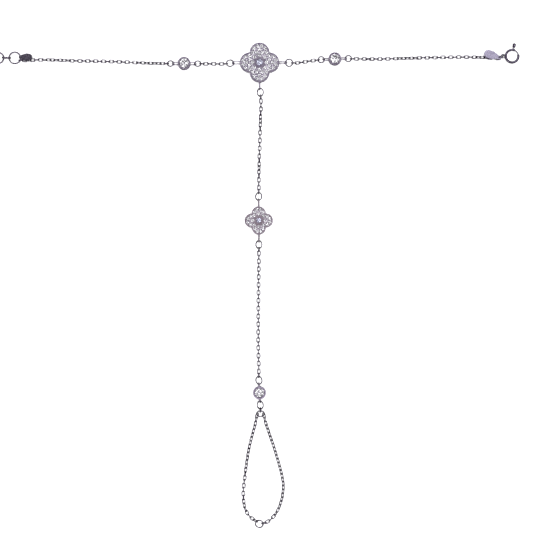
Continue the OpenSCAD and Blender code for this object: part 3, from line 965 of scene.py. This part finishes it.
def table_value(rows: list[PlanePoint], key: float) -> float:
    """Reads a value between the rows of a table.

    Args:
        rows: Rows of key and value, keys rising.
        key: The wanted key.

    Returns:
        The value, held level past both ends.
    """
    for (low, first), (high, second) in zip(rows, rows[1:]):
        if key <= high:
            return first + (second - first) * max(0.0, key - low) / (high - low)
    return rows[-1][1]


def between(tail: Vector, head: Vector, roll: float) -> Matrix:
    """Places a shape that is long along X midway between two points.

    Args:
        tail: Where the shape's wire centre starts.
        head: Where it ends.
        roll: Turn about its own length, in degrees.

    Returns:
        The placing matrix.
    """
    step = head - tail
    heading = math.atan2(step.y, step.x)
    pitch = -math.atan2(step.z, math.hypot(step.x, step.y))
    return (Matrix.Translation((tail + head) / 2) @ Matrix.Rotation(heading, 4, "Z")
            @ Matrix.Rotation(pitch, 4, "Y") @ Matrix.Rotation(math.radians(roll), 4, "X"))


@dataclass
class FingerLoop:
    """The finger loop's two strands, from the finger ring to the closing ring.

    The first and last points of each route put the end links round the two rings.

    Args:
        finishes: The scene's materials.
    """

    finishes: Finishes

    LEFT = [(-0.92, 0.265, 0.26), (-1.39, -1.625, 0.67), (-1.7, -3.3, 0.66), (-2.2, -5.2, 0.66),
            (-3.0, -8.0, 0.66), (-3.8, -11.5, 0.66), (-4.5, -15.5, 0.66), (-5.1, -20.0, 0.66),
            (-5.6, -24.0, 0.66), (-5.7, -27.5, 0.66), (-5.3, -31.2, 0.66), (-4.4, -33.2, 0.66),
            (-3.5, -34.35, 0.66), (-2.52, -35.13, 0.66), (-0.8, -36.135, 0.655)]
    RIGHT = [(0.94, 0.27, 0.255), (1.38, -1.625, 0.69), (1.75, -3.2, 0.66), (2.4, -5.0, 0.66),
             (3.4, -8.0, 0.66), (4.6, -11.5, 0.66), (5.8, -15.5, 0.66), (6.9, -19.5, 0.66),
             (7.5, -22.5, 0.66), (7.6, -24.8, 0.66), (7.2, -28.0, 0.66), (6.2, -31.2, 0.66),
             (4.9, -33.6, 0.66), (3.9, -34.75, 0.66), (3.0, -35.65, 0.66), (2.135, -36.166, 0.655),
             (0.205, -36.645, 0.72)]

    LEFT_ROLL = [(0, 25.7), (3, 45.0), (13, 45.0), (16, 5.0), (20, 0.0), (23, 45.0), (28, 114.4)]
    RIGHT_ROLL = [(0, 154.0), (3, 135.0), (25, 135.0), (30, 77.8)]

    def build(self) -> None:
        """Makes both strands."""
        low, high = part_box("finger_ring")
        middle = (Vector(low) + Vector(high)) / 2
        for node, points, twist in (("finger_strand_left", self.LEFT, self.LEFT_ROLL),
                                    ("finger_strand_right", self.RIGHT, self.RIGHT_ROLL)):
            CableStrand(node, Route(points, middle), self.finishes.chain, twist).build()


# Whole piece


@dataclass
class Settings:
    """Clovers and bezel cups: finishes, recut stones and bead prongs.

    Args:
        finishes: The scene's materials.
    """

    finishes: Finishes

    def build(self) -> list[bpy.types.Object]:
        """Dresses the settings and sets their stones.

        Returns:
            The stones and bead prongs, which the sparkle lamps light.
        """
        sparkling = []
        for clover, metal in (("big_clover", self.finishes.setting),
                              ("small_clover", self.finishes.warm_setting)):
            dress(f"{clover}_setting", metal)
            centre = StoneSet(f"{clover}_centre_stone", self.finishes.tinted, Slot.TINTED)
            pave = StoneSet(f"{clover}_pave", self.finishes.clear, Slot.CLEAR)
            sparkling += [centre.build(), pave.build()]
            prongs = BeadProngs(f"{clover}_bead_prongs", pave.seats(), self.finishes.beads)
            sparkling.append(prongs.build())
        for place in ("left", "right", "drop"):
            dress(f"{place}_bezel_cup", self.finishes.cup)
            sparkling.append(StoneSet(f"{place}_bezel_stone", self.finishes.bright, Slot.CLEAR).build())
        return sparkling


@dataclass
class Chains:
    """Chains, jump rings, tags and clasp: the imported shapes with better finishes.

    Args:
        finishes: The scene's materials.
    """

    finishes: Finishes

    def build(self) -> None:
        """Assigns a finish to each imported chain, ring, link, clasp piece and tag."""
        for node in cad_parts:
            if node.endswith("_chain"):
                dress(node, self.finishes.chain)
            elif node in ("clasp_body", "clasp_bolt"):
                dress(node, self.finishes.clasp)
            elif node.endswith("_ring") or node.endswith("_link"):
                dress(node, self.finishes.polished)
        dress("left_tag", self.finishes.painted_shade_tag)
        dress("right_tag", self.finishes.painted_light_tag)


def dress(node: str, material: bpy.types.Material) -> None:
    """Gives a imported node's object one material.

    Args:
        node: The node's name.
        material: Its new finish.
    """
    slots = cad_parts[node].material_slots
    for slot in slots:
        slot.material = material
    LOG.info("%s: %s", node, material.name)


@dataclass
class Studio:
    """White paper, soft overhead light and the camera of the photograph.

    Args:
        finishes: The scene's materials.
        view: Middle of the picture on the table, in metres.
        distance: Camera height.
        lens: Focal length in mm.
        paper_side: Half the paper's side, in metres.
        paper_drop: Gap between the piece and the paper.
        dome: Distance of the small lamps.
    """

    finishes: Finishes
    view: PlanePoint = (2.3 * MM, -67.87 * MM)
    distance: float = 493.6 * MM
    lens: float = 100.0
    paper_side: float = 3.0
    paper_drop: float = 0.01 * MM
    dome: float = 1.2

    SKY = [(0.0, 0.02), (0.3, 0.04), (0.55, 0.09), (0.78, 0.2), (0.93, 0.4), (1.0, 0.32)]
    SKY_TINT = (0.98, 0.93, 1.06)
    SKY_PATCHES = {"From Min": 0.4, "From Max": 0.62, "To Min": 0.5, "To Max": 1.4}
    GLINTS = [(20, 62), (130, 66), (245, 70)]
    SPARKS = [(20, 52), (48, 74), (75, 44), (98, 66), (130, 56), (160, 72), (190, 48), (218, 64),
              (245, 76), (272, 50), (300, 68), (328, 42), (350, 60), (5, 80)]

    def ground(self) -> None:
        """Lays the paper under the piece."""
        side, low = self.paper_side, -self.paper_drop
        corners = [(-side, -side, low), (side, -side, low), (side, side, low), (-side, side, low)]
        mesh = bpy.data.meshes.new("paper")
        mesh.from_pydata(corners, [], [(0, 1, 2, 3)])
        mesh.materials.append(self.finishes.paper)
        paper = bpy.data.objects.new("paper", mesh)
        paper.visible_glossy = False
        bpy.context.scene.collection.objects.link(paper)

    def room(self) -> None:
        """Builds the sky that the metal mirrors: bright overhead, dark towards the horizon."""
        world = bpy.data.worlds.new("studio_room")
        bpy.context.scene.world = world
        world.use_nodes = True
        tree = world.node_tree
        background = tree.nodes["Background"]
        coords = tree.nodes.new("ShaderNodeTexCoord")
        split = tree.nodes.new("ShaderNodeSeparateXYZ")
        ramp = tree.nodes.new("ShaderNodeValToRGB")
        elements = ramp.color_ramp.elements
        elements[0].position, elements[1].position = self.SKY[0][0], self.SKY[-1][0]
        for position, _ in self.SKY[1:-1]:
            elements.new(position)
        for element, (_, level) in zip(elements, self.SKY):
            element.color = (*(level * part for part in self.SKY_TINT), 1.0)
        tree.links.new(coords.outputs["Generated"], split.inputs[0])
        tree.links.new(split.outputs["Z"], ramp.inputs["Fac"])
        tree.links.new(ramp.outputs["Color"], background.inputs["Color"])
        patches = tree.nodes.new("ShaderNodeTexNoise")
        patches.inputs["Scale"].default_value = 2.6
        patches.inputs["Detail"].default_value = 1.0
        tree.links.new(coords.outputs["Generated"], patches.inputs["Vector"])
        spread = tree.nodes.new("ShaderNodeMapRange")
        for socket, value in self.SKY_PATCHES.items():
            spread.inputs[socket].default_value = value
        tree.links.new(patches.outputs["Fac"], spread.inputs["Value"])
        tree.links.new(spread.outputs["Result"], background.inputs["Strength"])

    def lamp(self, name: str, place: Point, size: float, power: float, mirrored: bool) -> bpy.types.Object:
        """Hangs one soft lamp that points at the piece.

        Args:
            name: Lamp name.
            place: Its place in metres.
            size: Side of the square lamp.
            power: Watts.
            mirrored: Whether the metal mirrors it.

        Returns:
            The lamp.
        """
        light = bpy.data.lights.new(name, "AREA")
        light.shape = "SQUARE"
        light.size = size
        light.energy = power
        lamp = bpy.data.objects.new(name, light)
        lamp.location = place
        aim = Vector((self.view[0], self.view[1], 0.0)) - Vector(place)
        lamp.rotation_euler = aim.to_track_quat("-Z", "Y").to_euler()
        lamp.visible_glossy = mirrored
        lamp.visible_transmission = mirrored
        bpy.context.scene.collection.objects.link(lamp)
        return lamp

    def points(self, name: str, spots: list[PlanePoint], size: float, power: float) -> list[bpy.types.Object]:
        """Hangs small mirrored lamps on a dome over the piece.

        Args:
            name: Lamp name.
            spots: Heading and height of each, in degrees.
            size: Side of each lamp.
            power: Watts of each.

        Returns:
            The lamps.
        """
        lamps = []
        for index, (turn, rise) in enumerate(spots):
            heading, height = math.radians(turn), math.radians(rise)
            across = self.dome * math.cos(height)
            place = (across * math.cos(heading), across * math.sin(heading), self.dome * math.sin(height))
            lamps.append(self.lamp(f"{name}_{index}", place, size, power, True))
        return lamps

    def sparkle(self, pieces: list[bpy.types.Object]) -> None:
        """Lights the stones and beads alone, so that their facets glitter.

        Args:
            pieces: What the lamps light.
        """
        lit = bpy.data.collections.new("sparkling")
        for piece in pieces:
            lit.objects.link(piece)
        for lamp in self.points("spark", self.SPARKS, 0.16, 0.36):
            lamp.light_linking.receiver_collection = lit

    def camera(self) -> None:
        """Sets the camera straight above, at the photograph's scale."""
        data = bpy.data.cameras.new("camera")
        data.type = "PERSP"
        data.lens = self.lens
        data.sensor_width = 36.0
        data.clip_start = 0.01
        camera = bpy.data.objects.new("camera", data)
        camera.location = (self.view[0], self.view[1], self.distance)
        bpy.context.scene.collection.objects.link(camera)
        bpy.context.scene.camera = camera

    def build(self) -> None:
        """Builds the whole studio."""
        self.ground()
        self.room()
        self.lamp("overhead", (0.1, 0.1, 1.6), 2.2, 75.0, False)
        self.lamp("window", (0.12, 0.62, 0.9), 0.4, 0.36, True)
        self.points("glint", self.GLINTS, 0.2, 0.3)
        self.camera()
        bpy.context.scene.view_settings.view_transform = "Standard"


def main() -> None:
    """Builds and dresses the whole bracelet and its studio."""
    logging.basicConfig(level=logging.INFO, format="%(name)s: %(message)s")
    finishes = Finishes()
    studio = Studio(finishes)
    studio.build()
    Chains(finishes).build()
    studio.sparkle(Settings(finishes).build())
    FingerLoop(finishes).build()


if __name__ == "__main__":
    main()
